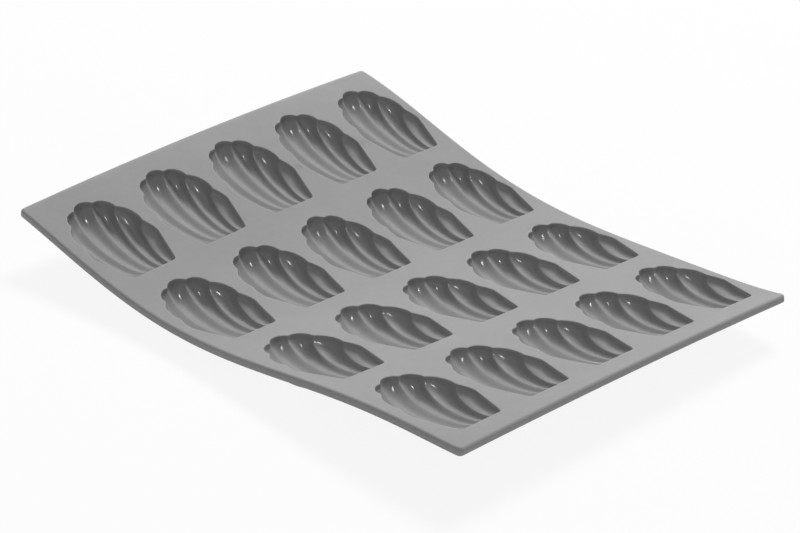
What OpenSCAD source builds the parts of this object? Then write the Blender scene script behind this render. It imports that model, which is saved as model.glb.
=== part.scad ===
// Flexible madeleine mould: one soft sheet with four rows of five shell-shaped cups.
// The sheet stands in the bent, slightly twisted shape that it takes when it is set down.
// Lengths are millimetres. +X runs from the raised end to the front end, +Y to the far edge.

/* [Sheet] */
// Thickness of the sheet
sheet_thickness = 3; // [2.6:0.1:3.4]
// Radius of the sheet's four corners
corner_radius = 2.5; // [1:0.5:4]

/* [Bent shape] */
// Heights of the centre line at even stations, from the raised end to the front end
centre_heights = [15.7, 8.3, 1.6, 0.1, 3.2, 6.8, 9.8]; // [0:0.1:20]
// Far edge above the near edge at even stations
cross_falls = [7.3, 3.9, -5.8, -5.3]; // [-12:0.1:12]
// Rise of the middle over a straight line across the sheet, at even stations
cross_bows = [2.0, 0.9, -0.6, 1.3]; // [-3:0.1:3]

/* [Cavity layout] */
// Flat sheet between one row's narrow ends and the next row's fan tips
row_gap = 8.6; // [7.8:0.1:12]
// Flat sheet between the fans of neighbouring columns
column_gap = 4.55; // [4.2:0.01:8]
// Flat sheet beyond the first row's fan tips, at the raised end
raised_margin = 9.4; // [6:0.1:14]
// Flat sheet beyond the last row's narrow ends, at the front end
front_margin = 8.4; // [6:0.1:14]
// Flat sheet outside the first column's fans, along the near edge
near_margin = 4.52; // [3.2:0.01:9]
// Flat sheet outside the last column's fans, along the far edge
far_margin = 3.52; // [3.2:0.01:9]

/* [Cavity] */
// Length from the fan tip to the narrow end
cup_length = 41.6; // [39:0.1:42.4]
// Width of the narrow end
narrow_width = 18.6; // [17:0.1:19]
// Length of the plain flanks beside the narrow end
flank_length = 15.2; // [13:0.1:17]
// How far beyond the narrow end the flutes would meet
flute_origin = 29.8; // [29:0.1:32]
// Depth of the smooth shell below the rim, before the flutes are pressed in
cavity_depth = 8.5; // [7.5:0.1:9.5]
// How far the flutes swell out of the smooth shell at the fan end
flute_depth = 1.4; // [0.8:0.1:1.6]
// Angles of the ridges between the flutes, the same on both sides of the middle flute
ridge_angles = [11.7, 31.8, 57.4]; // [8:0.1:70]
// Angle at which the outermost flute would end
last_angle = 105; // [98:0.5:115]
// How far the narrow end's corners are drawn back
corner_draw = 2; // [1:0.1:2.4]

/* [Walls and webs] */
// Wall of a cup below the sheet
cup_wall = 1.3; // [1:0.1:1.6]
// Width of the flat rim that goes with each cup
rim_width = 1.6; // [1.5:0.1:1.8]
// Width of the bending web between two rows
web_width = 3.2; // [2:0.1:4]
// Seam between a web and its rows
seam = 0.05; // [0.03:0.01:0.08]
// How much of the lowest cup is pressed flat where the sheet stands
foot_flat = 0.45; // [0.2:0.05:0.5]

/* [Hidden] */

rows = 4;
columns = 5;
silicone = [0.60, 0.60, 0.61];
web_tone = [0.56, 0.56, 0.57];
cup_tone = [0.48, 0.48, 0.49];

// Shell-shaped cavity, in its own frame
// The narrow end is at x = 0, the fan tip at x = -cup_length and the rim at z = 0
fan_radius = flute_origin + cup_length - flute_depth;
side_radius = flute_origin + flank_length;
spread = narrow_width / 2 / flute_origin;
depth_skew = 1.15;
flute_roundness = 2.3;
flute_start = 8;
corner_power = 12;
rim_band = 0.12;

// Distance from the point where the flutes would meet, t from narrow end to fan
function reach(t, a) = let (
    near = flute_origin + corner_draw * pow(abs(sin(a)), corner_power),
    far = side_radius + (fan_radius - side_radius) * pow(cos(a), 2)
)
    near + (1 - cos(180 * t)) / 2 * (far - near);
// Depth of the smooth shell
function hollow(t, a) = cavity_depth * sin(180 * pow(t, depth_skew)) * cos(a);
function shell(t, a) = let (r = reach(t, a))
    [flute_origin - r, r * spread * sin(a), -hollow(t, a)];
// Swell of a flute between its two ridges, from 0 at the ridges to 1
function swell(a) = let (
    b = abs(a),
    edges = concat([-ridge_angles[0]], ridge_angles, [last_angle]),
    k = b < edges[1] ? 0 : b < edges[2] ? 1 : b < edges[3] ? 2 : 3,
    f = (b - edges[k]) / (edges[k + 1] - edges[k])
)
    1 - pow(abs(2 * f - 1), flute_roundness);
// How far a point lies from the rim line, 1 well inside the cavity
function inside(t, a) = min(1, max(0, sin(180 * t) * cos(a) / rim_band));
// Outward direction of the smooth shell, level along the rim
function outward(t, a) = let (
    tc = min(0.98, max(0.02, t)),
    ac = min(88, max(-88, a)),
    dt = shell(tc + 0.004, ac) - shell(tc - 0.004, ac),
    da = shell(tc, ac + 0.36) - shell(tc, ac - 0.36),
    n = cross(dt, da) / norm(cross(dt, da))
)
    [n[0], n[1], n[2] * inside(t, a)];
function flute(t, a) =
    flute_depth * reach(t, a) / fan_radius * (1 - pow(1 - t, flute_start)) * swell(a);
function cavity(t, a) = shell(t, a) + flute(t, a) * outward(t, a);
// Outside of the cup: half a wall out along the rim, then drawn in to meet the full wall
function wall_part(t, a) =
    inside(t, a) < 0.001 ? 0.5 : 0.3 + 0.7 * min(1, pow(hollow(t, a) / sheet_thickness, 3));
function skin(t, a) = let (
    p = shell(t, a) + (flute(t, a) + cup_wall * wall_part(t, a)) * outward(t, a)
)
    [p[0], p[1], min(p[2], -sheet_thickness)];
// Corner of the flat rim beside the rim point at t and a
function rim_corner(t, a) = let (
    p = cavity(t, a),
    n = outward(t, a),
    d = [n[0], n[1]]
)
    [p[0], p[1]] + rim_width * d / norm(d);

// Places on the sheet, which is as long and as wide as its cavities, gaps and margins
cup_width = 2 * max([for (t = [0:0.02:1]) for (a = [0:90]) cavity(t, a)[1]]);
row_pitch = cup_length + row_gap;
column_pitch = cup_width + column_gap;
sheet_length = raised_margin + cup_length + (rows - 1) * row_pitch + front_margin;
sheet_width = near_margin + cup_width + (columns - 1) * column_pitch + far_margin;
function narrow_s(i) = raised_margin + cup_length + (i - 1) * row_pitch;
function middle_u(j) = near_margin + cup_width / 2 + (j - 1) * column_pitch;
function web_s(k) = narrow_s(k) + row_gap / 2;
function row_start(i) = i == 1 ? 0 : web_s(i - 1) + web_width / 2;
function row_end(i) = i == rows ? sheet_length : web_s(i) - web_width / 2;
function cell_near(j) = j == 1 ? 0 : middle_u(j) - column_pitch / 2;
function cell_far(j) = j == columns ? sheet_width : middle_u(j + 1) - column_pitch / 2;

// Bent shape of the sheet
// Value at t, from 0 to 1, of the lowest polynomial through values h at even stations
function through(t, h) = let (n = len(h) - 1)
    [for (i = [0:n]) h[i] * share(t, i, n)] * [for (i = [0:n]) 1];
function share(t, i, n, j = 0) =
    j > n ? 1 : (j == i ? 1 : (t * n - j) / (i - j)) * share(t, i, n, j + 1);
// Change of those values over one millimetre of sheet
step = 0.0001;
function rate(t, h) = (through(t + step, h) - through(t - step, h)) / (2 * step * sheet_length);

// How far the centre line reaches along the floor while it keeps its length
run_steps = 84;
function level_share(t) = sqrt(1 - pow(rate(t, centre_heights), 2));
run_table = [
    for (k = 0, x = 0; k <= run_steps;
         x = x + level_share((k + 0.5) / run_steps) * sheet_length / run_steps,
         k = k + 1)
    [k * sheet_length / run_steps, x]
];

// Point at s along the sheet, u across it and w above its top face
function bent(s, u, w) = let (
    t = s / sheet_length,
    b = u / sheet_width - 0.5,
    fall = through(t, cross_falls),
    bow = through(t, cross_bows),
    slope = rate(t, centre_heights),
    along = slope + b * rate(t, cross_falls) + (1 - 4 * b * b) * rate(t, cross_bows),
    across = (fall - 8 * b * bow) / sheet_width,
    flat = sqrt(1 - slope * slope),
    n = [-along, -flat * across, flat],
    z = through(t, centre_heights) + b * fall + (1 - 4 * b * b) * bow
)
    [lookup(s, run_table), u - sheet_width / 2, z] + n * w / norm(n);

// Mesh stations of a cup, from the narrow end to the fan and across the flutes
t_at = [0, 0.10, 0.24, 0.40, 0.51, 0.60, 0.76, 0.90, 1];
nt = len(t_at) - 1;
half_edges = concat([0 - ridge_angles[0]], ridge_angles, [90]);
function flute_stations(a, b) = [a, a + (b - a) / 3, a + (b - a) * 2 / 3];
a_at = concat(
    flute_stations(-90, -ridge_angles[2]),
    flute_stations(-ridge_angles[2], -ridge_angles[1]),
    flute_stations(-ridge_angles[1], -ridge_angles[0]),
    flute_stations(-ridge_angles[0], ridge_angles[0]),
    flute_stations(ridge_angles[0], ridge_angles[1]),
    flute_stations(ridge_angles[1], ridge_angles[2]),
    flute_stations(ridge_angles[2], 90),
    [90]
);
na = len(a_at) - 1;

// Corners of the flat rim, clockwise from the near side of the fan
crest = [
    (ridge_angles[2] + 90) / 2,
    (ridge_angles[1] + ridge_angles[2]) / 2,
    (ridge_angles[0] + ridge_angles[1]) / 2
];
end_angle = 60;
rim_xy = [
    rim_corner(1, -crest[0]), rim_corner(1, -crest[1]), rim_corner(1, -crest[2]),
    rim_corner(1, 0),
    rim_corner(1, crest[2]), rim_corner(1, crest[1]), rim_corner(1, crest[0]),
    rim_corner(0.5, 90), rim_corner(0, 90), rim_corner(0, end_angle),
    rim_corner(0, -end_angle), rim_corner(0, -90), rim_corner(0.5, -90)
];
nr = len(rim_xy);
// Loop of mesh points along the cavity's rim, clockwise, starting two points before the fan
rim_loop = concat(
    [for (k = [nt - 2, nt - 1]) k * (na + 1)],
    [for (j = [0:na]) nt * (na + 1) + j],
    [for (k = [nt - 1:-1:0]) k * (na + 1) + na],
    [for (j = [na - 1:-1:0]) j],
    [for (k = [1:nt - 3]) k * (na + 1)]
);
// How many pieces of that loop join each rim corner
rim_share = [5, 3, 3, 3, 3, 3, 5, nt - 4, 6, 6, 7, 6, nt - 4];

function run_of(start, count) = count == 0 ? [] : [for (i = [0:count - 1]) start + i];
// Band of triangles between a fine loop and a coarse loop; share says which pieces join which
function before(v, m) = m == 0 ? 0 : v[m - 1] + before(v, m - 1);
function band(fine, coarse, share) = let (n = len(fine), c = len(coarse)) concat(
    [for (m = [0:c - 1]) for (i = run_of(before(share, m), share[m]))
        [fine[i % n], coarse[m], fine[(i + 1) % n]]],
    [for (m = [0:c - 1])
        [fine[(before(share, m) + share[m]) % n], coarse[m], coarse[(m + 1) % c]]]
);
function turned(faces) = [for (f = faces) [f[0], f[2], f[1]]];
// Upright wall from an upper loop to a lower loop, seen from the coarse side
function wall(upper, lower) = let (n = len(upper)) [
    for (m = [0:n - 1]) each [
        [upper[(m + 1) % n], upper[m], lower[m]],
        [upper[(m + 1) % n], lower[m], lower[(m + 1) % n]]
    ]
];

// Place of the whole sheet: centred over the origin, with its lowest cup on the floor
foot_angle = ridge_angles[0] / 3;
function skin_at(i, j, t, a) = let (p = skin(t, a))
    bent(narrow_s(i) + p[0], middle_u(j) + p[1], p[2]);
foot_heights = [
    for (i = [2, 3], j = [1:columns], t = [t_at[4], t_at[5]], a = [-foot_angle, foot_angle])
    skin_at(i, j, t, a)[2]
];
floor_height = min(foot_heights) + foot_flat;
edge_samples = 12;
end_x = [
    for (k = [0:edge_samples], w = [0, -sheet_thickness])
    let (u = k * sheet_width / edge_samples) [bent(0, u, w)[0], bent(sheet_length, u, w)[0]]
];
side_y = [
    for (k = [0:edge_samples], w = [0, -sheet_thickness])
    let (s = k * sheet_length / edge_samples) [bent(s, 0, w)[1], bent(s, sheet_width, w)[1]]
];
middle_x = (min([for (e = end_x) e[0]]) + max([for (e = end_x) e[1]])) / 2;
middle_y = (min([for (e = side_y) e[0]]) + max([for (e = side_y) e[1]])) / 2;
place = [-middle_x, -middle_y, -floor_height];
function set_down(s, u, w) = bent(s, u, w) + place;
function on_floor(p) = [p[0], p[1], max(p[2], 0)];

// One cup: the fluted cavity, its outside and the flat rim around it
module cup(i, j) {
    s0 = narrow_s(i);
    u0 = middle_u(j);
    grid = (nt + 1) * (na + 1);
    inner = [
        for (t = t_at) for (a = a_at) let (p = cavity(t, a))
        set_down(s0 + p[0], u0 + p[1], p[2])
    ];
    outer = [
        for (t = t_at) for (a = a_at) let (p = skin(t, a))
        on_floor(set_down(s0 + p[0], u0 + p[1], p[2]))
    ];
    rim_top = [for (c = rim_xy) set_down(s0 + c[0], u0 + c[1], 0)];
    rim_low = [for (c = rim_xy) set_down(s0 + c[0], u0 + c[1], -sheet_thickness)];
    hollow_faces = [
        for (k = [0:nt - 1]) for (m = [0:na - 1]) let (q = k * (na + 1) + m) each [
            [q, q + na + 1, q + na + 2],
            [q, q + na + 2, q + 1]
        ]
    ];
    skin_faces = [for (f = turned(hollow_faces)) [f[0] + grid, f[1] + grid, f[2] + grid]];
    top_ids = run_of(2 * grid, nr);
    low_ids = run_of(2 * grid + nr, nr);
    skin_loop = [for (q = rim_loop) q + grid];
    color(cup_tone)
        polyhedron(
            points = concat(inner, outer, rim_top, rim_low),
            faces = concat(
                hollow_faces,
                skin_faces,
                band(rim_loop, top_ids, rim_share),
                turned(band(skin_loop, low_ids, rim_share)),
                wall(top_ids, low_ids)
            )
        );
}

// One row of the sheet, with five openings that the cups' rims fill
flank_cuts = [for (k = [1:5]) k / 6];
// Quarter round of a sheet corner, or a plain corner inside the sheet
arc = 1 - sqrt(0.5);
function corner_points(s, u, ds, du, first) =
    ds * du == 0 ? [[s, u]] :
    first == "s" ? [[s + ds, u], [s + ds * arc, u + du * arc], [s, u + du]] :
    [[s, u + du], [s + ds * arc, u + du * arc], [s + ds, u]];
// Outline parts of one cell, clockwise, starting on its near side
function cell_parts(i, j) = let (
    s1 = row_start(i),
    s2 = row_end(i),
    u1 = cell_near(j),
    u2 = cell_far(j),
    r1 = i == 1 ? corner_radius : 0,
    r2 = i == rows ? corner_radius : 0,
    q1 = j == 1 ? corner_radius : 0,
    q2 = j == columns ? corner_radius : 0
) [
    [for (k = [3:-1:0]) [s1 + (s2 - s1) * flank_cuts[k], u1]],
    corner_points(s1, u1, r1, q1, "s"),
    [for (m = [1:5]) [s1, middle_u(j) + rim_xy[m][1]]],
    corner_points(s1, u2, r1, -q2, "u"),
    [for (k = [0:4]) [s1 + (s2 - s1) * flank_cuts[k], u2]],
    corner_points(s2, u2, -r2, -q2, "s"),
    [for (m = [9, 10]) [s2, middle_u(j) + rim_xy[m][1]]],
    corner_points(s2, u1, -r2, q1, "u"),
    [[s1 + (s2 - s1) * flank_cuts[4], u1]]
];
function joined(parts) = [for (p = parts) each p];
// Share of the cell outline that joins each rim corner
function cell_share(c) = [2, 2 + c[0], 1, 2, 1, 2 + c[1], 2, 1, 1 + c[2], 1, 0, 1 + c[3], 1];
function upright(loop_top, loop_low, picks) = let (n = len(loop_top)) [
    for (e = picks) each [
        [loop_top[(e + 1) % n], loop_top[e % n], loop_low[e % n]],
        [loop_top[(e + 1) % n], loop_low[e % n], loop_low[(e + 1) % n]]
    ]
];

module sheet_row(i) {
    cells = [for (j = [1:columns]) cell_parts(i, j)];
    outlines = [for (c = cells) joined(c)];
    sizes = [for (o = outlines) 2 * nr + 2 * len(o)];
    points = [
        for (j = [1:columns]) let (s0 = narrow_s(i), u0 = middle_u(j)) each concat(
            [for (c = rim_xy) set_down(s0 + c[0], u0 + c[1], 0)],
            [for (c = rim_xy) set_down(s0 + c[0], u0 + c[1], -sheet_thickness)],
            [for (c = outlines[j - 1]) set_down(c[0], c[1], 0)],
            [for (c = outlines[j - 1]) set_down(c[0], c[1], -sheet_thickness)]
        )
    ];
    faces = [
        for (j = [1:columns]) let (
            first = before(sizes, j - 1),
            n = len(outlines[j - 1]),
            lens = [for (p = cells[j - 1]) len(p)],
            at = [for (k = [0:8]) before(lens, k)],
            rim_top = run_of(first, nr),
            rim_low = run_of(first + nr, nr),
            out_top = run_of(first + 2 * nr, n),
            out_low = run_of(first + 2 * nr + n, n),
            share = cell_share([lens[1], lens[3], lens[5], lens[7]]),
            raised_side = [at[1]:at[3] + lens[3] - 2],
            front_side = [at[5]:at[7] + lens[7] - 2],
            far_side = j == columns ? [for (e = [at[3] + lens[3] - 1:at[5] - 1]) e] : [],
            near_side = j == 1 ? [for (e = [at[7] + lens[7] - 1:n + at[1] - 1]) e] : []
        ) each concat(
            turned(band(out_top, rim_top, share)),
            band(out_low, rim_low, share),
            turned(wall(rim_top, rim_low)),
            upright(out_top, out_low, [for (e = raised_side) e]),
            upright(out_top, out_low, [for (e = front_side) e]),
            upright(out_top, out_low, far_side),
            upright(out_top, out_low, near_side)
        )
    ];
    color(silicone) polyhedron(points = points, faces = faces);
}

// Web that bends between two rows, from edge to edge of the sheet
web_steps = 20;
module flex_web(k) {
    s1 = row_end(k) + seam;
    s2 = row_start(k + 1) - seam;
    stations = [for (m = [0:web_steps]) m * sheet_width / web_steps];
    points = [
        for (u = stations) each [
            set_down(s1, u, 0),
            set_down(s2, u, 0),
            set_down(s2, u, -sheet_thickness),
            set_down(s1, u, -sheet_thickness)
        ]
    ];
    sides = [
        for (m = [0:web_steps - 1]) for (c = [0:3]) let (
            p = 4 * m + c,
            q = 4 * m + (c + 1) % 4
        ) each [
            [p, p + 4, q + 4],
            [p, q + 4, q]
        ]
    ];
    last = 4 * web_steps;
    ends = [
        [0, 1, 2], [0, 2, 3],
        [last, last + 2, last + 1], [last, last + 3, last + 2]
    ];
    color(web_tone) polyhedron(points = points, faces = concat(sides, ends));
}

sheet_row(1);  // sheet_row_1
sheet_row(2);  // sheet_row_2
sheet_row(3);  // sheet_row_3
sheet_row(4);  // sheet_row_4
flex_web(1);  // flex_web_1
flex_web(2);  // flex_web_2
flex_web(3);  // flex_web_3
cup(1, 1);  // cup_1_1
cup(1, 2);  // cup_1_2
cup(1, 3);  // cup_1_3
cup(1, 4);  // cup_1_4
cup(1, 5);  // cup_1_5
cup(2, 1);  // cup_2_1
cup(2, 2);  // cup_2_2
cup(2, 3);  // cup_2_3
cup(2, 4);  // cup_2_4
cup(2, 5);  // cup_2_5
cup(3, 1);  // cup_3_1
cup(3, 2);  // cup_3_2
cup(3, 3);  // cup_3_3
cup(3, 4);  // cup_3_4
cup(3, 5);  // cup_3_5
cup(4, 1);  // cup_4_1
cup(4, 2);  // cup_4_2
cup(4, 3);  // cup_4_3
cup(4, 4);  // cup_4_4
cup(4, 5);  // cup_4_5
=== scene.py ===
"""Flexible madeleine mould: one soft grey sheet with four rows of five shell-shaped cups.

Lengths are metres and angles are degrees. A point on the mould is first given laid flat, as
s along the sheet from the raised end, u across it from the near edge and w above its top face,
and is then carried into the bent shape that the sheet takes when it is set down.
"""

import math

import bpy
import numpy as np
from mathutils import Matrix, Vector


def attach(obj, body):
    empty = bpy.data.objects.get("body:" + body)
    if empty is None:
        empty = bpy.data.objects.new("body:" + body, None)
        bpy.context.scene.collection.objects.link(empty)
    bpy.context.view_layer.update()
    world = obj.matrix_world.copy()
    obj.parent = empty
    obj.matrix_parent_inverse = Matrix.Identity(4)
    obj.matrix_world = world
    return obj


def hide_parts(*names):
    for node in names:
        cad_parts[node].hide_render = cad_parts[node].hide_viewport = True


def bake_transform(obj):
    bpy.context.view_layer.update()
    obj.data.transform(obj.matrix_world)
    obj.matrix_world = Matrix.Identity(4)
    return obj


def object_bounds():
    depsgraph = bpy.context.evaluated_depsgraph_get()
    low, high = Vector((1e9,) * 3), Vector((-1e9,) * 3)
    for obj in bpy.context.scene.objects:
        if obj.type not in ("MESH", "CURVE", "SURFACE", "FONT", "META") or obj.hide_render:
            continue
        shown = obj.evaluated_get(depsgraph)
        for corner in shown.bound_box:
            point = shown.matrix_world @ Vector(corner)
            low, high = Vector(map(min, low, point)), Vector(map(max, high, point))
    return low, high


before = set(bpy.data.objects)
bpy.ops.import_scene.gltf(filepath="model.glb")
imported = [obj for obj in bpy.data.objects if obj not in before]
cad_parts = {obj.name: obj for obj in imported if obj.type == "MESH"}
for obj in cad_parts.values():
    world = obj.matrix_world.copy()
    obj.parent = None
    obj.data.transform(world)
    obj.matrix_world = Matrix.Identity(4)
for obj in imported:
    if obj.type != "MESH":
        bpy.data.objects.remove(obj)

bl_info = {
    "name": "Flexible Madeleine Mould",
    "version": (1, 0, 0),
    "blender": (4, 5, 0),
    "location": "View3D > Sidebar > Mould",
    "description": "Builds a soft shell-cake mould in the pose in which it is set down",
    "category": "Add Mesh",
}

ROWS = 4
COLUMNS = 5
CAD_LOW, CAD_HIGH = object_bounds()


def length(name, description, default):
    """A length in metres."""
    return bpy.props.FloatProperty(
        name=name, description=description, default=default, unit="LENGTH", precision=4
    )


def lengths(name, description, default):
    """Several lengths in metres, such as heights at even stations."""
    return bpy.props.FloatVectorProperty(
        name=name, description=description, default=default, size=len(default),
        unit="LENGTH", precision=4,
    )


def point(name, description, default):
    """A place in metres."""
    return bpy.props.FloatVectorProperty(
        name=name, description=description, default=default, size=3,
        subtype="TRANSLATION", precision=5,
    )


def number(name, description, default, unit="NONE"):
    """A number, such as an angle in degrees or a strength."""
    return bpy.props.FloatProperty(
        name=name, description=description, default=default, unit=unit
    )


def fraction(name, description, default):
    """A share from 0 to 1."""
    return bpy.props.FloatProperty(
        name=name, description=description, default=default, subtype="FACTOR", min=0, max=1
    )


def colour(name, description, default):
    """A linear RGB colour."""
    return bpy.props.FloatVectorProperty(
        name=name, description=description, default=default, size=3,
        subtype="COLOR", min=0, max=1,
    )


class MouldSheetSizes(bpy.types.PropertyGroup):
    """The flat sheet, its margins and the shape that it is bent to"""

    thickness: length("Thickness", "Thickness of the sheet", 0.003)
    corner_radius: length("Corner radius", "Radius of the sheet's four corners", 0.0016)
    top_round: length("Top edge rounding", "Rounding along the sheet's upper outer edge", 0.001)
    low_round: length("Lower edge rounding", "Rounding along the sheet's lower outer edge", 0.0006)
    centre_heights: lengths(
        "Centre heights", "Heights of the centre line at even stations, from the raised end",
        (0.0157, 0.0083, 0.0016, 0.0001, 0.0032, 0.0068, 0.0098),
    )
    cross_falls: lengths(
        "Cross falls", "Far edge above the near edge at even stations",
        (0.0073, 0.0039, -0.0058, -0.0053),
    )
    cross_bows: lengths(
        "Cross bows", "Rise of the middle over a straight line across",
        (0.002, 0.0009, -0.0006, 0.0013),
    )
    row_gap: length("Row gap", "Flat sheet between neighbouring rows of cavities", 0.0086)
    column_gap: length("Column gap", "Flat sheet between neighbouring columns", 0.00455)
    raised_margin: length("Raised margin", "Flat sheet beyond the first row's fan tips", 0.0094)
    front_margin: length("Front margin", "Flat sheet beyond the last row's narrow ends", 0.0084)
    near_margin: length("Near margin", "Flat sheet outside the first column", 0.00452)
    far_margin: length("Far margin", "Flat sheet outside the last column", 0.00352)
    web_width: length("Web width", "Width of the bending web between two rows", 0.0032)
    set_down: point(
        "Set down", "Where the middle of the raised end stands before it is lifted",
        (-0.10406, 0.00007684, 0.0104373),
    )


class MouldCupSizes(bpy.types.PropertyGroup):
    """One shell-shaped cavity and the wall around it"""

    cup_length: length("Length", "Fan tip to narrow end", 0.0416)
    narrow_width: length("Narrow width", "Width of the narrow end", 0.0186)
    flank_length: length("Flank length", "Plain flanks beside the narrow end", 0.0152)
    flute_origin: length("Flute origin", "How far past the narrow end the flutes meet", 0.0298)
    cavity_depth: length("Depth", "Depth of the smooth shell below the rim", 0.0081)
    flute_depth: length("Flute depth", "How far the flutes swell out at the fan end", 0.0014)
    ridge_angles: bpy.props.FloatVectorProperty(
        name="Ridge angles", description="Ridges beside the middle flute, in degrees",
        default=(11.7, 31.8, 57.4), size=3,
    )
    last_angle: number("Last angle", "Angle at which the outermost flute would end", 105.0)
    ridge_rise: length("Ridge rise", "How far the ridges stand in from the smooth shell", 0.0009)
    ridge_softness: fraction("Ridge softness", "How far the ridges are rounded", 0.16)
    corner_draw: length("Corner draw", "How far the narrow end's corners are drawn back", 0.0002)
    wall: length("Wall", "Wall of a cup below the sheet", 0.0011)
    rim_width: length("Rim width", "Flat rim that goes with each cup", 0.0016)
    rim_round: length("Rim rounding", "Rounding where the sheet turns into the cavity", 0.0004)


class MouldFinish(bpy.types.PropertyGroup):
    """The silicone's colour and gloss"""

    silicone: colour("Silicone", "Colour of the moulded silicone", (0.335, 0.335, 0.34))
    rubbed: colour("Rubbed edges", "Colour where edges are rubbed pale", (0.36, 0.36, 0.365))
    top_roughness: fraction("Top roughness", "Roughness of the satin top", 0.6)
    cavity_roughness: fraction("Cavity roughness", "Roughness of the polished cavities", 0.2)


class MouldStage(bpy.types.PropertyGroup):
    """The floor, the lamps and the camera"""

    floor_colour: colour("Floor", "Colour of the floor", (0.86, 0.86, 0.86))
    floor_glow: fraction("Floor glow", "Share of plain white that is seen in the floor", 0.9)
    sky_strength: number("Sky", "Strength of the even light from all round", 0.2)
    key_power: number("Key lamp", "Lamp above and behind the far edge", 44.0, "POWER")
    back_power: number("Back lamp", "Low lamp opposite the camera", 2.5, "POWER")
    spot_power: number("Small lamp", "Small lamp near the camera", 4.5, "POWER")
    azimuth: number("Azimuth", "Direction that the camera looks along, in degrees", 39.8866)
    elevation: number("Elevation", "Camera above the horizon, in degrees", 27.6435)
    roll: number("Roll", "Turn of the camera about its own axis, in degrees", 5.5805)
    distance: length("Distance", "Camera to the point that it looks at", 0.94966)
    target: point("Target", "Point that the camera looks at", (-0.004875, 0.004716, 0.010406))
    focal_length: number("Focal length", "Lens on a 36 mm sensor", 119.64, "CAMERA")


# ---------------------------------------------------------------- shape of the mould


def through(t, heights):
    """Value at t, from 0 to 1, of the lowest polynomial through heights at even stations.

    Each height is weighted by its share: the product over the other stations of
    (t n - j) / (i - j), which is 1 at its own station and 0 at the others.
    """
    n = len(heights) - 1
    total = np.zeros_like(np.asarray(t, float))
    for i, height in enumerate(heights):
        share = np.ones_like(total)
        for j in range(n + 1):
            if j != i:
                share = share * (t * n - j) / (i - j)
        total = total + height * share
    return total


def mixed(first, second, share):
    """Numbers or points at a share of the way from the first to the second."""
    return first * (1 - share) + second * share


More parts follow.
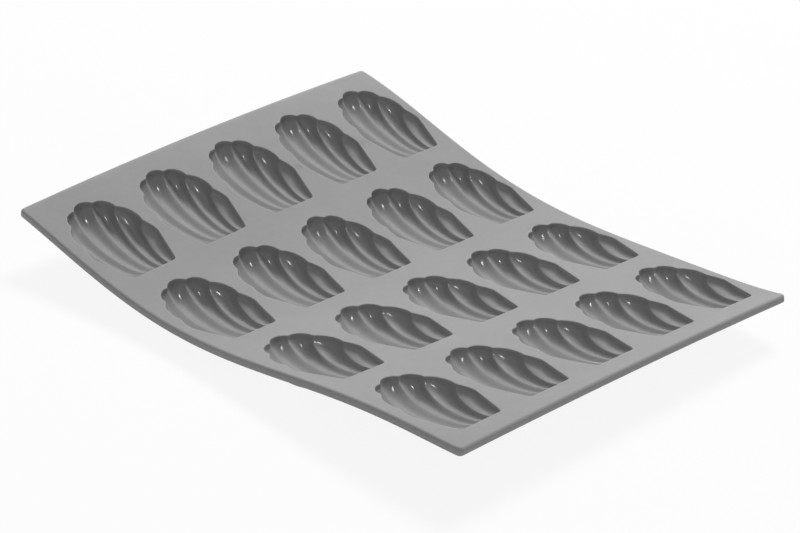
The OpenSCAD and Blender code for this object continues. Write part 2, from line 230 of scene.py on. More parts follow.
class Mould:
    """The mould's shape, as functions of arrays, from the sizes in the two groups.

    On a cup, t goes from 0 at the narrow end to 1 at the fan, and a goes across from -90 to 90.
    """

    LEVEL_STEPS = 84  # steps in which the level length of the bent sheet is summed
    RATE_STEP = 1e-4  # small difference that gives a slope along the sheet
    DEPTH_SKEW = 1.15  # above 1, the deepest place lies nearer the fan
    WALL_POWER = 0.88  # below 1, the inside goes down more steeply from the rim
    FLUTE_ROUNDNESS = 2.3  # power of the flutes' lobes along the rim
    FLUTE_START = 8  # power that swells the flutes soon after the narrow end
    LOBE_POWER = 5  # power that keeps the lobes to the fan end
    RISE_BAND = 0.4  # share of the cavity over which the ridges rise from the rim
    RISE_TAPER = 0.6  # share of the ridges' rise that shrinks towards the narrow end
    CORNER_POWER = 24  # power that draws back only the narrow end's very corners
    RIM_BAND = 0.12  # share of the cavity over which its normals turn level at the rim
    ON_RIM = 0.001  # share up to which a point counts as one of the rim
    RIM_WALL = 0.5  # share of the wall that the skin has on the rim line
    THIN_WALL = 0.3  # share of the wall that it has just inside the rim
    FOOT_SOFTNESS = 0.0004  # rounding between the sheet's underside and the cup
    EDGE_SHARE, EDGE_ANGLE = 0.02, 88  # the shell's normals are taken this far inside its edges
    T_STEP, A_STEP = 0.004, 0.36  # small differences that give those normals

    def __init__(self, sheet, cup):
        self.sheet, self.cup = sheet, cup
        self.fan_radius = cup.flute_origin + cup.cup_length - cup.flute_depth
        self.side_radius = cup.flute_origin + cup.flank_length
        self.spread = cup.narrow_width / 2 / cup.flute_origin
        t, a = np.meshgrid(np.linspace(0, 1, 51), np.linspace(0, 90, 91), indexing="ij")
        self.cup_width = 2 * self.cavity(t, a, 0)[..., 1].max()
        self.row_pitch = cup.cup_length + sheet.row_gap
        self.column_pitch = self.cup_width + sheet.column_gap
        rows, columns = (ROWS - 1) * self.row_pitch, (COLUMNS - 1) * self.column_pitch
        self.length = sheet.raised_margin + cup.cup_length + rows + sheet.front_margin
        self.width = sheet.near_margin + self.cup_width + columns + sheet.far_margin
        middles = (np.arange(self.LEVEL_STEPS) + 0.5) / self.LEVEL_STEPS
        shares = np.sqrt(1 - self.rate(middles, sheet.centre_heights) ** 2)
        self.run_s = np.linspace(0, self.length, self.LEVEL_STEPS + 1)
        self.run_x = np.concatenate([[0], np.cumsum(shares) * self.length / self.LEVEL_STEPS])

    def rate(self, t, heights):
        """Change of the heights over a metre of sheet: a small difference either side of t."""
        step = self.RATE_STEP
        return (through(t + step, heights) - through(t - step, heights)) / (2 * step * self.length)

    def bent(self, s, u, w):
        """Point of the bent sheet at s along, u across and w above its top face.

        The centre line keeps its length: x is the sum of the level shares of its steps. The
        height is centre + b fall + (1 - 4 b b) bow, with b from -1/2 to 1/2 across, and w goes
        along the unit normal of that surface.
        """
        sheet = self.sheet
        s, u, w = np.broadcast_arrays(*(np.asarray(v, float) for v in (s, u, w)))
        t, b = s / self.length, u / self.width - 0.5
        fall, bow = through(t, sheet.cross_falls), through(t, sheet.cross_bows)
        slope = self.rate(t, sheet.centre_heights)
        along = (
            slope + b * self.rate(t, sheet.cross_falls)
            + (1 - 4 * b * b) * self.rate(t, sheet.cross_bows)
        )
        across = (fall - 8 * b * bow) / self.width
        flat = np.sqrt(1 - slope**2)
        normal = np.stack([-along, -flat * across, flat], -1)
        normal /= np.linalg.norm(normal, axis=-1, keepdims=True)
        z = through(t, sheet.centre_heights) + b * fall + (1 - 4 * b * b) * bow
        top = np.stack([np.interp(s, self.run_s, self.run_x), u - self.width / 2, z], -1)
        return top + normal * w[..., None] + np.array(sheet.set_down)

    def reach(self, t, a):
        """Distance from the point where the flutes meet, eased from the narrow end to the fan.

        The share is (1 - cos(180 t)) / 2. The narrow end is drawn back at its corners by the
        24th power of sin a, and the fan's outline goes from the side radius to the fan radius
        with the square of cos a.
        """
        cup = self.cup
        corner = np.abs(np.sin(np.radians(a))) ** self.CORNER_POWER
        near = cup.flute_origin + cup.corner_draw * corner
        far = self.side_radius + (self.fan_radius - self.side_radius) * np.cos(np.radians(a)) ** 2
        return near + (1 - np.cos(np.pi * t)) / 2 * (far - near)

    def hollow(self, t, a, power=1.0):
        """Depth of the smooth shell: the full depth times a power of sin(180 t^1.15) cos a."""
        full = np.abs(np.sin(np.pi * t**self.DEPTH_SKEW) * np.cos(np.radians(a)))
        return self.cup.cavity_depth * full**power

    def shell(self, t, a):
        """Smooth shell: the reach, spread by sin a across, at the depth of the hollow."""
        r = self.reach(t, a)
        across = r * self.spread * np.sin(np.radians(a))
        return np.stack([self.cup.flute_origin - r, across, -self.hollow(t, a)], -1)

    def within(self, t, a):
        """Share of the deep relief, 0 along the rim.

        It is 3 v v - 2 v v v of v = sin(180 t) cos a / band, held between 0 and 1.
        """
        v = np.clip(np.sin(np.pi * t) * np.cos(np.radians(a)) / self.RISE_BAND, 0, 1)
        return v * v * (3 - 2 * v)

    def swell(self, t, a, softness):
        """Swell of the flutes between two ridges, f being the share of the way across a flute.

        Along the rim it is the lobe v = 1 - |2f - 1|^2.3, whose creases sqrt(v v + k k) - k
        rounds off. Inside, towards the narrow end, it turns into the even wave sin^2(180 f).
        """
        ridges = list(self.cup.ridge_angles)
        edges = np.array([-ridges[0]] + ridges + [self.cup.last_angle])
        b = np.abs(a)
        k = np.clip(np.searchsorted(edges, b, side="right") - 1, 0, len(edges) - 2)
        f = (b - edges[k]) / (edges[k + 1] - edges[k])
        v = 1 - np.abs(2 * f - 1) ** self.FLUTE_ROUNDNESS
        full = math.sqrt(1 + softness**2) - softness
        lobe = (np.sqrt(v * v + softness**2) - softness) / full
        inner = self.within(t, a) * (1 - t**self.LOBE_POWER)
        return mixed(lobe, np.sin(np.pi * f) ** 2, inner)

    def inside(self, t, a):
        """How far a point lies from the rim line: 0 on it, 1 well inside the cavity."""
        return np.clip(np.sin(np.pi * t) * np.cos(np.radians(a)) / self.RIM_BAND, 0, 1)

    def outward(self, t, a):
        """Outward unit normal of the smooth shell, which lies level along the rim.

        It is the cross product of small differences along the shell and across it.
        """
        t2 = np.clip(t, self.EDGE_SHARE, 1 - self.EDGE_SHARE)
        a2 = np.clip(a, -self.EDGE_ANGLE, self.EDGE_ANGLE)
        dt = self.shell(t2 + self.T_STEP, a2) - self.shell(t2 - self.T_STEP, a2)
        da = self.shell(t2, a2 + self.A_STEP) - self.shell(t2, a2 - self.A_STEP)
        n = np.cross(dt, da)
        n /= np.linalg.norm(n, axis=-1, keepdims=True)
        n[..., 2] *= self.inside(t, a)
        return n

    def flute(self, t, a, swell):
        """Push of a flute out of the smooth shell, which fades towards the narrow end."""
        size = self.cup.flute_depth * self.reach(t, a) / self.fan_radius
        return size * (1 - (1 - t) ** self.FLUTE_START) * swell

    def rise(self, t, a, softness):
        """How far the ridges stand further in: nothing at the rim and all of it well inside."""
        narrower = self.reach(t, a) / self.fan_radius
        size = self.cup.ridge_rise * mixed(1.0, narrower, self.RISE_TAPER)
        return size * self.within(t, a) * (1 - self.swell(t, a, softness))

    def cavity(self, t, a, softness):
        """Cavity surface: the smooth shell pushed outwards by flutes and inwards by ridges.

        The inside goes down a little more steeply from the rim than the outside does.
        """
        push = self.flute(t, a, self.swell(t, a, softness)) - self.rise(t, a, softness)
        p = self.shell(t, a) + push[..., None] * self.outward(t, a)
        p[..., 2] += self.hollow(t, a) - self.hollow(t, a, self.WALL_POWER)
        return p

    def skin(self, t, a, softness):
        """Outside of the cup: the fluted shell pushed out by the wall, below the sheet.

        The wall is thin near the rim and grows with the cube of the depth, down to the sheet's
        underside. A soft maximum of 0 and the depth below the sheet, (h + sqrt(h h + k k)) / 2,
        rounds the corner between that underside and the cup.
        """
        deep = np.clip(self.hollow(t, a) / self.sheet.thickness, 0, 1)
        share = self.THIN_WALL + (1 - self.THIN_WALL) * deep**3
        share = np.where(self.inside(t, a) < self.ON_RIM, self.RIM_WALL, share)
        push = self.flute(t, a, self.swell(t, a, softness)) + self.cup.wall * share
        p = self.shell(t, a) + push[..., None] * self.outward(t, a)
        h = -p[..., 2] - self.sheet.thickness
        p[..., 2] = -self.sheet.thickness - (h + np.sqrt(h * h + self.FOOT_SOFTNESS**2)) / 2
        return p

    def narrow_s(self, i):
        """Place along the sheet of row i's narrow ends."""
        return self.sheet.raised_margin + self.cup.cup_length + (i - 1) * self.row_pitch

    def middle_u(self, j):
        """Place across the sheet of column j's middle."""
        return self.sheet.near_margin + self.cup_width / 2 + (j - 1) * self.column_pitch

    def row_ends(self, i):
        """Start and end along the sheet of row i, between the webs."""
        half = self.sheet.web_width / 2
        start = 0 if i == 1 else self.narrow_s(i - 1) + self.sheet.row_gap / 2 + half
        end = self.length if i == ROWS else self.narrow_s(i) + self.sheet.row_gap / 2 - half
        return start, end

    def web_ends(self, k):
        """Start and end along the sheet of the web after row k."""
        return self.row_ends(k)[1], self.row_ends(k + 1)[0]

    def cell_ends(self, j):
        """Near and far ends across the sheet of column j's cell."""
        near = 0 if j == 1 else self.middle_u(j) - self.column_pitch / 2
        far = self.width if j == COLUMNS else self.middle_u(j + 1) - self.column_pitch / 2
        return near, far


class CupGrid:
    """The stations of one cup's meshes and the loops around its rim, the same for all cups."""

    ALONG = 40  # steps from the narrow end to the fan
    FLUTE = 12  # steps across each flute
    CORNER_SHIFT = 5  # steps up the flanks to the points that face the cell's front corners

    def __init__(self, mould):
        side = [*mould.cup.ridge_angles, 90.0]
        ridges = [-angle for angle in reversed(side)] + side
        ease = (1 - np.cos(np.pi * np.arange(self.FLUTE) / self.FLUTE)) / 2
        flutes = [low + (high - low) * ease for low, high in zip(ridges[:-1], ridges[1:])]
        angles = np.concatenate(flutes + [[90.0]])
        self.across = len(angles) - 1
        self.t, self.a = np.meshgrid(np.linspace(0, 1, self.ALONG + 1), angles, indexing="ij")
        index = np.arange(self.t.size).reshape(self.t.shape)
        self.quads = grid_quads(index)
        self.loop = np.concatenate(
            [index[-1, :-1], index[:0:-1, -1], index[0, :0:-1], index[:-1, 0]]
        )
        self.rim(mould)

    def rim(self, mould):
        """Points around the rim: the cavity's edge, the level direction away from it, the seam.

        The seam is the shell's outline pushed out by the full flute depth and the rim width.
        """
        t, a = self.t.ravel()[self.loop], self.a.ravel()[self.loop]
        away = mould.outward(t, a)[:, :2]
        self.away = away / np.linalg.norm(away, axis=-1, keepdims=True)
        self.edge = mould.cavity(t, a, mould.cup.ridge_softness)[:, :2]
        push = mould.flute(t, a, 1.0) + mould.cup.rim_width
        self.seam = mould.shell(t, a)[:, :2] + push[:, None] * self.away


# ---------------------------------------------------------------- meshes

MERGE_DISTANCE = 1e-7  # points closer than this become one
SHARP_ANGLE = 48  # edges that turn by more than this many degrees are shaded sharp


def grid_quads(index):
    """Four-sided faces of a grid of vertex numbers, which face up for a cavity."""
    a, b, c, d = index[:-1, :-1], index[1:, :-1], index[1:, 1:], index[:-1, 1:]
    return np.stack([a, d, c, b], -1).reshape(-1, 4)


def band_quads(upper, lower, picks=None):
    """Four-sided faces between two closed loops of vertex numbers, all round or at the picks.

    They face up where the second loop lies outside the first, as the loops around a rim run.
    """
    quads = np.stack([upper, np.roll(upper, -1), np.roll(lower, -1), lower], -1)
    return quads if picks is None else quads[picks]


def level(line, w):
    """Points of a flat outline, all at the height w."""
    return np.column_stack([line, np.full(len(line), w)])


def quarter(steps):
    """Angles of a quarter turn, in even steps, in radians."""
    return np.linspace(0, math.pi / 2, steps + 1)


def placed(name, data):
    """A new object of the scene, at the origin, with a mesh, a lamp or a camera in it."""
    made = bpy.data.objects.new(name, data)
    bpy.context.scene.collection.objects.link(made)
    return made


def add_piece(name, points, faces, material, rubbed, polished):
    """A mesh piece from points and faces, with how rubbed and how polished it is at its points.

    Points that lie within a tenth of a micrometre become one, and unused points go.
    """
    keys = np.round(points / MERGE_DISTANCE).astype(np.int64)
    _, first, back = np.unique(keys, axis=0, return_index=True, return_inverse=True)
    faces = [back.reshape(-1)[f] for f in faces]
    used = np.zeros(len(first), bool)
    for f in faces:
        used[f.ravel()] = True
    number_of = np.cumsum(used) - 1
    kept = first[used]
    polygons = [list(dict.fromkeys(row)) for f in faces for row in number_of[f].tolist()]
    mesh = bpy.data.meshes.new(name)
    mesh.from_pydata(points[kept].tolist(), [], [p for p in polygons if len(p) > 2])
    mesh.polygons.foreach_set("use_smooth", np.ones(len(mesh.polygons), bool))
    mesh.set_sharp_from_angle(angle=math.radians(SHARP_ANGLE))
    for mark, values in (("rubbed", rubbed), ("polished", polished)):
        layer = mesh.attributes.new(mark, "FLOAT", "POINT")
        layer.data.foreach_set("value", values[kept].astype(np.float32))
    mesh.update()
    mesh.validate()
    piece = placed(name, mesh)
    mesh.materials.append(material)
    return piece


# ---------------------------------------------------------------- finish

CLOUD_SCALE = 60  # broad clouds, about 17 mm across
MOTTLE_SCALE = 420  # mottling, about 2.4 mm across
GRAIN_SCALE = 3800  # fine grain, about a quarter of a millimetre across
DARKEST, LIGHTEST = 0.93, 1.07  # shares of the silicone's colour that the mottling spans
REFRACTION = 1.42  # of silicone rubber
BUMP_STRENGTH, BUMP_HEIGHT = 0.2, 0.0002  # of the grain and the mottling
MIX_A, MIX_B, MIX_COLOUR = 6, 7, 2  # numbers of a colour Mix node's inputs and of its output


class Socket:
    """A shader value that can be used in Python expressions; each operation adds a Math node."""

    def __init__(self, tree, link):
        self.tree, self.link = tree, link

    def maths(self, operation, *values):
        """Adds a Math node with values or links in its sockets."""
        return self.tree.node("ShaderNodeMath", {"operation": operation}, dict(enumerate(values)))

    def __add__(self, other):
        return self.maths("ADD", self, other)

    def __radd__(self, other):
        return self.maths("ADD", other, self)

    def __sub__(self, other):
        return self.maths("SUBTRACT", self, other)

    def __rsub__(self, other):
        return self.maths("SUBTRACT", other, self)

    def __mul__(self, other):
        return self.maths("MULTIPLY", self, other)

    def __rmul__(self, other):
        return self.maths("MULTIPLY", other, self)

    def most(self, other):
        """The greater of two values."""
        return self.maths("MAXIMUM", self, other)

    def clamped(self):
        """The value, held between 0 and 1."""
        return self.tree.node(
            "ShaderNodeMath", {"operation": "ADD", "use_clamp": True}, {0: self, 1: 0.0}
        )


class Nodes:
    """The node tree of a material or a world, filled by one method."""

    def __init__(self, owner):
        owner.use_nodes = True
        self.tree = owner.node_tree
        self.tree.nodes.clear()

    def node(self, kind, settings=(), inputs=(), output=0):
        """Adds a node of a kind, sets it up and fills or links its sockets.

        It returns one of the node's outputs, or nothing where there is none to name.
        """
        made = self.tree.nodes.new(kind)
        for key, value in dict(settings).items():
            setattr(made, key, value)
        for key, value in dict(inputs).items():
            if isinstance(value, Socket):
                self.tree.links.new(value.link, made.inputs[key])
            else:
                made.inputs[key].default_value = value
        return None if output is None else Socket(self, made.outputs[output])

    def noise(self, place, scale, detail, roughness=0.5):
        """Even noise around one half, with features about 1 / scale metres across."""
        return self.node(
            "ShaderNodeTexNoise", {},
            {"Vector": place, "Scale": scale, "Detail": detail, "Roughness": roughness},
        )

    def mark(self, name):
        """A mark from 0 to 1 that the piece carries at its points."""
        return self.node(
            "ShaderNodeAttribute", {"attribute_name": name, "attribute_type": "GEOMETRY"},
            output="Fac",
        )

    def blend(self, share, first, second):
        """Colour at a share of the way from the first to the second."""
        return self.node(
            "ShaderNodeMix", {"data_type": "RGBA"},
            {"Factor": share, MIX_A: first, MIX_B: second}, MIX_COLOUR,
        )

    def white_seen(self):
        """1 for rays from the camera, from reflections and through glass, 0 for other light."""
        camera, glossy, through_glass = (
            self.node("ShaderNodeLightPath", output=name)
            for name in ("Is Camera Ray", "Is Glossy Ray", "Is Transmission Ray")
        )
        return camera.most(glossy).most(through_glass)


def silicone_material(finish):
    """Satin grey silicone: polished cavities, a finely grained top and edges rubbed paler.

    Clouds and mottling, spread out around a half, run from a darker to a lighter grey. Wear
    follows the rubbed mark, broken up by the mottling. Roughness falls with the polished mark
    and varies a little, and the bump is grain, weaker where polished, and mottling.
    """
    material = bpy.data.materials.get("grey_silicone")
    if material:
        return material
    material = bpy.data.materials.new("grey_silicone")
    nodes = Nodes(material)
    place = nodes.node("ShaderNodeTexCoord", output="Object")
    rubbed, polished = nodes.mark("rubbed"), nodes.mark("polished")
    cloud = nodes.noise(place, CLOUD_SCALE, 3)
    mottle = nodes.noise(place, MOTTLE_SCALE, 4, 0.6)
    grain = nodes.noise(place, GRAIN_SCALE, 2, 0.6)
    dark = [c * DARKEST for c in finish.silicone] + [1]
    light = [min(1, c * LIGHTEST) for c in finish.silicone] + [1]
    shade = (cloud * 0.6 + mottle * 0.4 - 0.3) * 2.2
    body = nodes.blend(shade.clamped(), dark, light)
    wear = (rubbed * (0.35 + mottle * 0.9)).clamped()
    skin = nodes.blend(wear, body, list(finish.rubbed) + [1])
    gloss = polished * (finish.top_roughness - finish.cavity_roughness)
    roughness = finish.top_roughness - gloss + (mottle - 0.5) * 0.12 + (cloud - 0.5) * 0.1
    height = grain * (1 - polished * 0.7) + mottle * 0.8
    bump = nodes.node(
        "ShaderNodeBump", {},
        {"Strength": BUMP_STRENGTH, "Distance": BUMP_HEIGHT, "Height": height},
    )
    surface = nodes.node(
        "ShaderNodeBsdfPrincipled", {},
        {"Base Color": skin, "Roughness": roughness.clamped(), "Normal": bump, "IOR": REFRACTION},
    )
    nodes.node("ShaderNodeOutputMaterial", {}, {"Surface": surface}, None)
    return material


# ---------------------------------------------------------------- pieces


def shape_and_finish(context):
    """The mould's shape and its material, from the scene's groups."""
    scene = context.scene
    return Mould(scene.mould_sheet, scene.mould_cup), silicone_material(scene.mould_finish)


class MOULD_OT_cups(bpy.types.Operator):
    """Adds the twenty fluted cups, each with the flat rim around it"""

    bl_idname = "mould.cups"
    bl_label = "Cups"

    ROUND_STEPS = 5  # steps of the rounding where the sheet turns into the cavity
    RIM_RINGS = ((0.12, 0.5), (0.4, 0.0), (0.7, 0.0), (1.0, 0.0))  # share out, how rubbed
    POLISH_DEPTH = 0.0012  # depth below the rim at which the full polish is reached
    RUBBED_DEPTH = 0.0005  # depth below the rounding over which the rubbing fades
    RUBBED_MOST = 0.8  # how rubbed the cavity is just below its rounding

    def execute(self, context):
        mould, material = shape_and_finish(context)
        grid = CupGrid(mould)
        for i in range(1, ROWS + 1):
            for j in range(1, COLUMNS + 1):
                cup = self.cup(mould, grid, i, j, material)
                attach(cup, f"row_{i}")
                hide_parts(f"cup_{i}_{j}")
        return {"FINISHED"}

    def cup(self, mould, grid, i, j, material):
        """One cup as a closed shell: cavity, rounded edge, flat rim, seam, underside and skin."""
        radius, depth = mould.cup.rim_round, mould.cup.cavity_depth
        inner = mould.cavity(grid.t, grid.a, mould.cup.ridge_softness)
        inner[..., 2] = -radius + inner[..., 2] * (1 - radius / depth)
        inner = inner.reshape(-1, 3)
        outer = mould.skin(grid.t, grid.a, mould.cup.ridge_softness).reshape(-1, 3)
        rings, marks = self.rim_rings(mould, grid, outer[grid.loop])
        flat = np.concatenate([inner, outer] + rings)
        size, count = len(inner), len(grid.loop)
        starts = [2 * size + k * count for k in range(len(rings))]
        polished, rubbed = np.zeros(len(flat)), np.zeros(len(flat))
        polished[:size] = np.clip(-inner[:, 2] / self.POLISH_DEPTH, 0, 1)
        below = polished[:size] * self.POLISH_DEPTH - radius
        rubbed[:size] = np.clip(1 - below / self.RUBBED_DEPTH, 0, 1) * self.RUBBED_MOST
        rubbed[2 * size:] = np.repeat(marks, count)
        points = mould.bent(
            mould.narrow_s(i) + flat[:, 0], mould.middle_u(j) + flat[:, 1], flat[:, 2]
        )
        # The lowest cups are flat where they stand.
        points[size:2 * size, 2] = np.maximum(points[size:2 * size, 2], 0)
        loops = [grid.loop] + [np.arange(count) + start for start in starts] + [grid.loop + size]
        faces = [grid.quads, grid.quads[:, ::-1] + size]
        faces += [band_quads(a, b) for a, b in zip(loops[:-1], loops[1:])]
        return add_piece(f"fluted_cup_{i}_{j}", points, faces, material, rubbed, polished)

    def rim_rings(self, mould, grid, foot):
        """Rings from the cavity's edge to the skin's foot, and how rubbed each of them is.

        They go up a quarter round, over the flat rim to the seam, and back under the sheet.
        """
        radius, low = mould.cup.rim_round, -mould.sheet.thickness
        rings, marks = [], []
        for angle in quarter(self.ROUND_STEPS)[-2::-1]:
            d, w = radius * (1 - math.sin(angle)), -radius * (1 - math.cos(angle))
            rings.append(level(grid.edge + d * grid.away, w))
            marks.append(1.0)
        brim = grid.edge + radius * grid.away
        for share, mark in self.RIM_RINGS:
            rings.append(level(mixed(brim, grid.seam, share), 0))
            marks.append(mark)
        under = level(grid.seam, low)
        return rings + [under, mixed(under, foot, 0.5)], marks + [0.0, 0.0]


class MOULD_OT_rows(bpy.types.Operator):
    """Adds the four rows of flat sheet, with five openings each that the cups fill"""

    bl_idname = "mould.rows"
    bl_label = "Sheet rows"

    TOP_SHARES = (0.04, 0.12, 0.25, 0.45, 0.7, 0.9)  # rings on top, from the seam outwards
    UNDER_SHARES = (0.25, 0.7)  # rings below, from the outline back to the seam

    def execute(self, context):
        mould, material = shape_and_finish(context)
        grid = CupGrid(mould)
        for i in range(1, ROWS + 1):
            row = self.row(mould, grid, i, material)
            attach(row, f"row_{i}")
            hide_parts(f"sheet_row_{i}")
        return {"FINISHED"}

    def row(self, mould, grid, i, material):
        """One row: five cells, each a band from a cup's seam to the outline and back below."""
        points, faces, rubbed, start = [], [], [], 0
        for j in range(1, COLUMNS + 1):
            flat, quads, marks = self.cell(mould, grid, i, j)
            points.append(mould.bent(flat[:, 0], flat[:, 1], flat[:, 2]))
            faces += [q + start for q in quads]
            rubbed.append(marks)
            start += len(flat)
        points, rubbed = np.concatenate(points), np.concatenate(rubbed)
        name = f"flat_sheet_{i}"
        return add_piece(name, points, faces, material, rubbed, np.zeros(len(rubbed)))

    def cell(self, mould, grid, i, j):
        """Rings of one cell, from the seam at the top over the outer edge to the seam below."""
        low = -mould.sheet.thickness
        hole = grid.seam + [mould.narrow_s(i), mould.middle_u(j)]
        profile = edge_profile(mould.sheet)
        outlines = [cell_outline(mould, grid, i, j, d) for d, _ in profile]
        rings = [level(hole, 0)]
        rings += [level(mixed(hole, outlines[0], share), 0) for share in self.TOP_SHARES]
        first = len(rings)
        rings += [level(outline, w) for (_, w), outline in zip(profile, outlines)]
        last = len(rings) - 1
        rings += [level(mixed(outlines[-1], hole, share), low) for share in self.UNDER_SHARES]
        rings.append(level(hole, low))
        count, walls = len(hole), cell_walls(grid, i, j)
        loops = [np.arange(count) + k * count for k in range(len(rings))]
        faces = [
            band_quads(loops[k], loops[(k + 1) % len(rings)], walls if first <= k < last else None)
            for k in range(len(rings))
        ]
        marks = np.zeros((len(rings), count))
        marks[first:last + 1] = outer_points(grid, i, j)
        return np.concatenate(rings), faces, marks.ravel()


def edge_profile(sheet):
    """How far in and how deep the sheet's outer edge goes, as two quarter rounds and a wall."""
    top, low, full = sheet.top_round, sheet.low_round, sheet.thickness
    upper = [(top * (1 - math.sin(q)), -top * (1 - math.cos(q))) for q in quarter(4)]
    lower = [(low * (1 - math.cos(q)), -full + low * (1 - math.sin(q))) for q in quarter(3)]
    return upper + [(0.0, -full / 2)] + lower


def side_ends(grid):
    """First and last number around the rim on each side of a cell: raised, far, front, near.

    The cell's raised corners face the middle of the second flute from either side.
    """
    half = grid.FLUTE + grid.FLUTE // 2
    front = grid.across + grid.ALONG - grid.CORNER_SHIFT
    near = 2 * grid.across + grid.ALONG + grid.CORNER_SHIFT
    corners = [half, grid.across - half, front, near, half + len(grid.loop)]
    return list(zip(corners[:-1], corners[1:]))


def own_sides(i, j):
    """Whether each side of a cell lies on the sheet's own edge: raised, far, front, near."""
    return i == 1, j == COLUMNS, i == ROWS, j == 1


def cell_outline(mould, grid, i, j, inset):
    """Outline of a cell laid flat, drawn in by the inset along the sheet's own edges.

    Each side is divided evenly between the numbers of its two corners, and a corner of the
    sheet itself is a quarter circle.
    """
    raised, far, front, near = own_sides(i, j)
    (s1, s2), (u1, u2) = mould.row_ends(i), mould.cell_ends(j)
    s1, s2, u1, u2 = s1 + inset * raised, s2 - inset * front, u1 + inset * near, u2 - inset * far
    corners = np.array([(s1, u1), (s1, u2), (s2, u2), (s2, u1)])
    count = len(grid.loop)
    outline = np.zeros((count, 2))
    for k, (first, last) in enumerate(side_ends(grid)):
        share = np.linspace(0, 1, last - first + 1)[:, None]
        side = mixed(corners[k], corners[(k + 1) % 4], share)
        outline[np.arange(first, last + 1) % count] = side
    radius = mould.sheet.corner_radius - inset
    for at_s, s, in_s in ((raised, s1, 1), (front, s2, -1)):
        for at_u, u, in_u in ((near, u1, 1), (far, u2, -1)):
            if at_s and at_u:
                rounded(outline, np.array([s, u]), np.array([in_s, in_u]), radius)
    return outline


def rounded(outline, corner, inwards, radius):
    """Moves an outline's points near a square corner onto a quarter circle."""
    tiny = 1e-9
    centre = corner + inwards * radius
    q = outline - centre
    beyond = (q * inwards < tiny).all(-1) & (np.abs(q).max(-1) <= radius + tiny)
    reach = np.linalg.norm(q[beyond], axis=-1, keepdims=True)
    outline[beyond] = centre + q[beyond] / reach * radius


def side_segments(grid):
    """Numbers of the segments on each side of a cell: raised, far, front and near."""
    return [np.arange(first, last) % len(grid.loop) for first, last in side_ends(grid)]


def cell_walls(grid, i, j):
    """Segments where a cell has an upright wall: all but those shared with the next cell."""
    raised, far, front, near = side_segments(grid)
    walls = [raised, front] + ([far] if j == COLUMNS else []) + ([near] if j == 1 else [])
    return np.sort(np.concatenate(walls))


def outer_points(grid, i, j):
    """1 at the points of a cell's outline that lie on the sheet's own edge, 0 elsewhere."""
    marks = np.zeros(len(grid.loop))
    for own, side in zip(own_sides(i, j), side_segments(grid)):
        if own:
            marks[side] = marks[(side + 1) % len(marks)] = 1
    return marks


class MOULD_OT_webs(bpy.types.Operator):
    """Adds the three webs between the rows"""

    bl_idname = "mould.webs"
    bl_label = "Bending webs"

    STEPS = 14  # steps along a web
    STILL_SHARE = 0.08  # share of a web at each end, inside which its start and end points are taken

    def execute(self, context):
        mould, material = shape_and_finish(context)
        grid = CupGrid(mould)
        for k in range(1, ROWS):
            web = self.web(mould, grid, k, material)
            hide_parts(f"flex_web_{k}")
            s1, s2 = mould.web_ends(k)
            inset = self.STILL_SHARE * (s2 - s1)
            start = mould.bent(s1 + inset, mould.width / 2, -mould.sheet.thickness / 2)
            end = mould.bent(s2 - inset, mould.width / 2, -mould.sheet.thickness / 2)
            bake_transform(web)
        return {"FINISHED"}

    def web(self, mould, grid, k, material):
        """A closed cross-section, with the sheet's rounded edges, carried between two rows.

        The section runs over the top, down the far edge, back below and up the near edge. Its
        two ends are closed by a strip between top and underside and a fan at each edge.
        """
        profile = edge_profile(mould.sheet)
        top = level(self.stations(mould, grid, profile[0][0]), 0)
        under = level(self.stations(mould, grid, profile[-1][0]), -mould.sheet.thickness)[::-1]
        edge = np.array(profile)[1:-1]
        far = edge * [-1, 1] + [mould.width, 0]
        section = np.concatenate([top, far, under, edge[::-1]])
        s = np.linspace(*mould.web_ends(k), self.STEPS + 1)[:, None]
        points = mould.bent(s, section[None, :, 0], section[None, :, 1]).reshape(-1, 3)
        index = np.arange(len(points)).reshape(-1, len(section))
        faces = [band_quads(a, b)[:, ::-1] for a, b in zip(index[:-1], index[1:])]
        n, m = len(top), len(edge)
        for ring, turn in ((index[0], 1), (index[-1], -1)):
            upper, lower = ring[:n], ring[n + m:2 * n + m][::-1]
            strip = np.stack([upper[:-1], upper[1:], lower[1:], lower[:-1]], -1)
            faces.append(strip[:, ::turn])
            for fan in (ring[n - 1:n + m + 1], np.append(ring[2 * n + m - 1:], ring[0])):
                centre = np.full(len(fan) - 2, fan[0])
                faces.append(np.stack([centre, fan[1:-1], fan[2:]], -1)[:, ::turn])
        rubbed = np.ones(len(section))
        rubbed[1:n - 1] = rubbed[n + m + 1:2 * n + m - 1] = 0
        rubbed = np.tile(rubbed, self.STEPS + 1)
        name = f"bending_web_{k}"
        return add_piece(name, points, faces, material, rubbed, np.zeros(len(rubbed)))

    def stations(self, mould, grid, inset):
        """Places across the sheet: even in each cell, as many as on the cells' raised sides."""
        first, last = side_ends(grid)[0]
        parts = []
        for j in range(1, COLUMNS + 1):
            near, far = mould.cell_ends(j)
            near, far = near + inset * (j == 1), far - inset * (j == COLUMNS)
            parts.append(np.linspace(near, far, last - first, endpoint=False))
        return np.concatenate(parts + [[mould.width - inset]])


# ---------------------------------------------------------------- stage


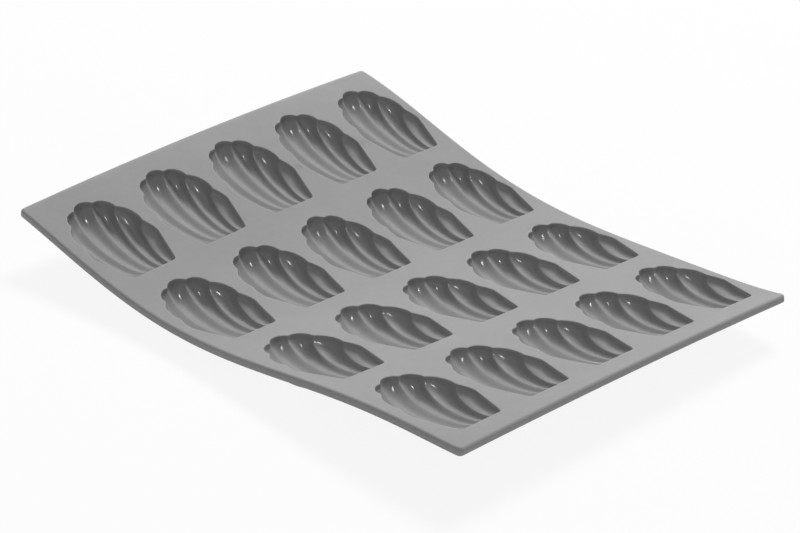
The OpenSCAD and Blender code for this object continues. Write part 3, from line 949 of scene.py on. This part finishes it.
class MOULD_OT_stage(bpy.types.Operator):
    """Adds the pale floor, the soft lamps, the sky and the camera"""

    bl_idname = "mould.stage"
    bl_label = "Stage"

    FLOOR_HALF = 3.0  # half the side of the floor
    FLOOR_GAP = 0.00005  # how far the floor lies below the cups
    SENSOR_WIDTH = 36  # of the camera, in millimetres

    def execute(self, context):
        stage = context.scene.mould_stage
        context.scene.view_settings.view_transform = "Standard"
        self.floor(stage)
        self.sky(context, stage)
        self.lamp("key_lamp", stage.key_power, (-0.5, 1.05, 1.87), (0.8, 0.8), glossy=False)
        self.lamp("back_lamp", stage.back_power, (-1.3, 1.4, 0.42), (0.8, 0.2), diffuse=False)
        self.lamp("small_lamp", stage.spot_power, (0.54, -0.45, 0.96), (0.04, 0.14), diffuse=False)
        self.camera(context, stage)
        return {"FINISHED"}

    def floor(self, stage):
        """A wide level square just below the cups."""
        half, z = self.FLOOR_HALF, CAD_LOW[2] - self.FLOOR_GAP
        corners = [(-half, -half, z), (half, -half, z), (half, half, z), (-half, half, z)]
        mesh = bpy.data.meshes.new("floor")
        mesh.from_pydata(corners, [], [(0, 1, 2, 3)])
        floor = placed("floor", mesh)
        material = bpy.data.materials.new("pale_floor")
        nodes = Nodes(material)
        paint = nodes.node("ShaderNodeBsdfDiffuse", {}, {"Color": [*stage.floor_colour, 1]})
        glow = nodes.node("ShaderNodeEmission", {}, {"Color": (1, 1, 1, 1), "Strength": 1.0})
        share = nodes.white_seen() * stage.floor_glow
        both = nodes.node("ShaderNodeMixShader", {}, {0: share, 1: paint, 2: glow})
        nodes.node("ShaderNodeOutputMaterial", {}, {"Surface": both}, None)
        mesh.materials.append(material)

    def sky(self, context, stage):
        """Even light from all round, which the camera and reflections see as plain white."""
        world = bpy.data.worlds.new("soft_sky")
        nodes = Nodes(world)
        strength = stage.sky_strength + nodes.white_seen() * (1 - stage.sky_strength)
        sky = nodes.node("ShaderNodeBackground", {}, {"Color": (1, 1, 1, 1), "Strength": strength})
        nodes.node("ShaderNodeOutputWorld", {}, {"Surface": sky}, None)
        context.scene.world = world

    def lamp(self, name, power, place, size, diffuse=True, glossy=True):
        """A rectangular lamp at a place, turned to the middle of the mould.

        The key lamp gives the even light alone, and the two others give the highlights alone.
        """
        light = bpy.data.lights.new(name, "AREA")
        light.shape, light.energy = "RECTANGLE", power
        light.size, light.size_y = size
        lamp = placed(name, light)
        lamp.location = place
        lamp.visible_diffuse, lamp.visible_glossy = diffuse, glossy
        lamp.rotation_euler = (-Vector(place)).to_track_quat("-Z", "Y").to_euler()

    def camera(self, context, stage):
        """The photograph's view: back is the direction from the target to the camera."""
        a, e, r = (math.radians(v) for v in (stage.azimuth, stage.elevation, stage.roll))
        back = Vector((math.sin(a) * math.cos(e), -math.cos(a) * math.cos(e), math.sin(e)))
        horizon = Vector((math.cos(a), math.sin(a), 0))
        upright = back.cross(horizon)
        right = math.cos(r) * horizon + math.sin(r) * upright
        up = math.cos(r) * upright - math.sin(r) * horizon
        position = Vector(stage.target) + back * stage.distance
        data = bpy.data.cameras.new("camera")
        data.sensor_width, data.lens = self.SENSOR_WIDTH, stage.focal_length
        data.clip_start, data.clip_end = 0.05, 20
        camera = placed("camera", data)
        camera.matrix_world = Matrix((
            (right.x, up.x, back.x, position.x),
            (right.y, up.y, back.y, position.y),
            (right.z, up.z, back.z, position.z),
            (0, 0, 0, 1),
        ))
        context.scene.camera = camera


class MOULD_PT_panel(bpy.types.Panel):
    """Lists the pieces of the mould and the stage"""

    bl_idname = "MOULD_PT_panel"
    bl_label = "Madeleine mould"
    bl_space_type = "VIEW_3D"
    bl_region_type = "UI"
    bl_category = "Mould"

    def draw(self, context):
        for operator in OPERATORS:
            self.layout.operator(operator.bl_idname)
        for group in GROUPS:
            box = self.layout.box()
            values = getattr(context.scene, group)
            for name in values.bl_rna.properties.keys():
                if name not in ("rna_type", "name"):
                    box.prop(values, name)


OPERATORS = (MOULD_OT_stage, MOULD_OT_rows, MOULD_OT_webs, MOULD_OT_cups)
GROUPS = {
    "mould_sheet": MouldSheetSizes,
    "mould_cup": MouldCupSizes,
    "mould_finish": MouldFinish,
    "mould_stage": MouldStage,
}
CLASSES = tuple(GROUPS.values()) + OPERATORS + (MOULD_PT_panel,)


def register():
    for cls in CLASSES:
        bpy.utils.register_class(cls)
    for name, group in GROUPS.items():
        setattr(bpy.types.Scene, name, bpy.props.PointerProperty(type=group))


def unregister():
    for name in GROUPS:
        delattr(bpy.types.Scene, name)
    for cls in reversed(CLASSES):
        bpy.utils.unregister_class(cls)


def main():
    """Builds the stage and every piece."""
    register()
    bpy.ops.mould.stage()
    bpy.ops.mould.rows()
    bpy.ops.mould.webs()
    bpy.ops.mould.cups()


if __name__ == "__main__":
    main()
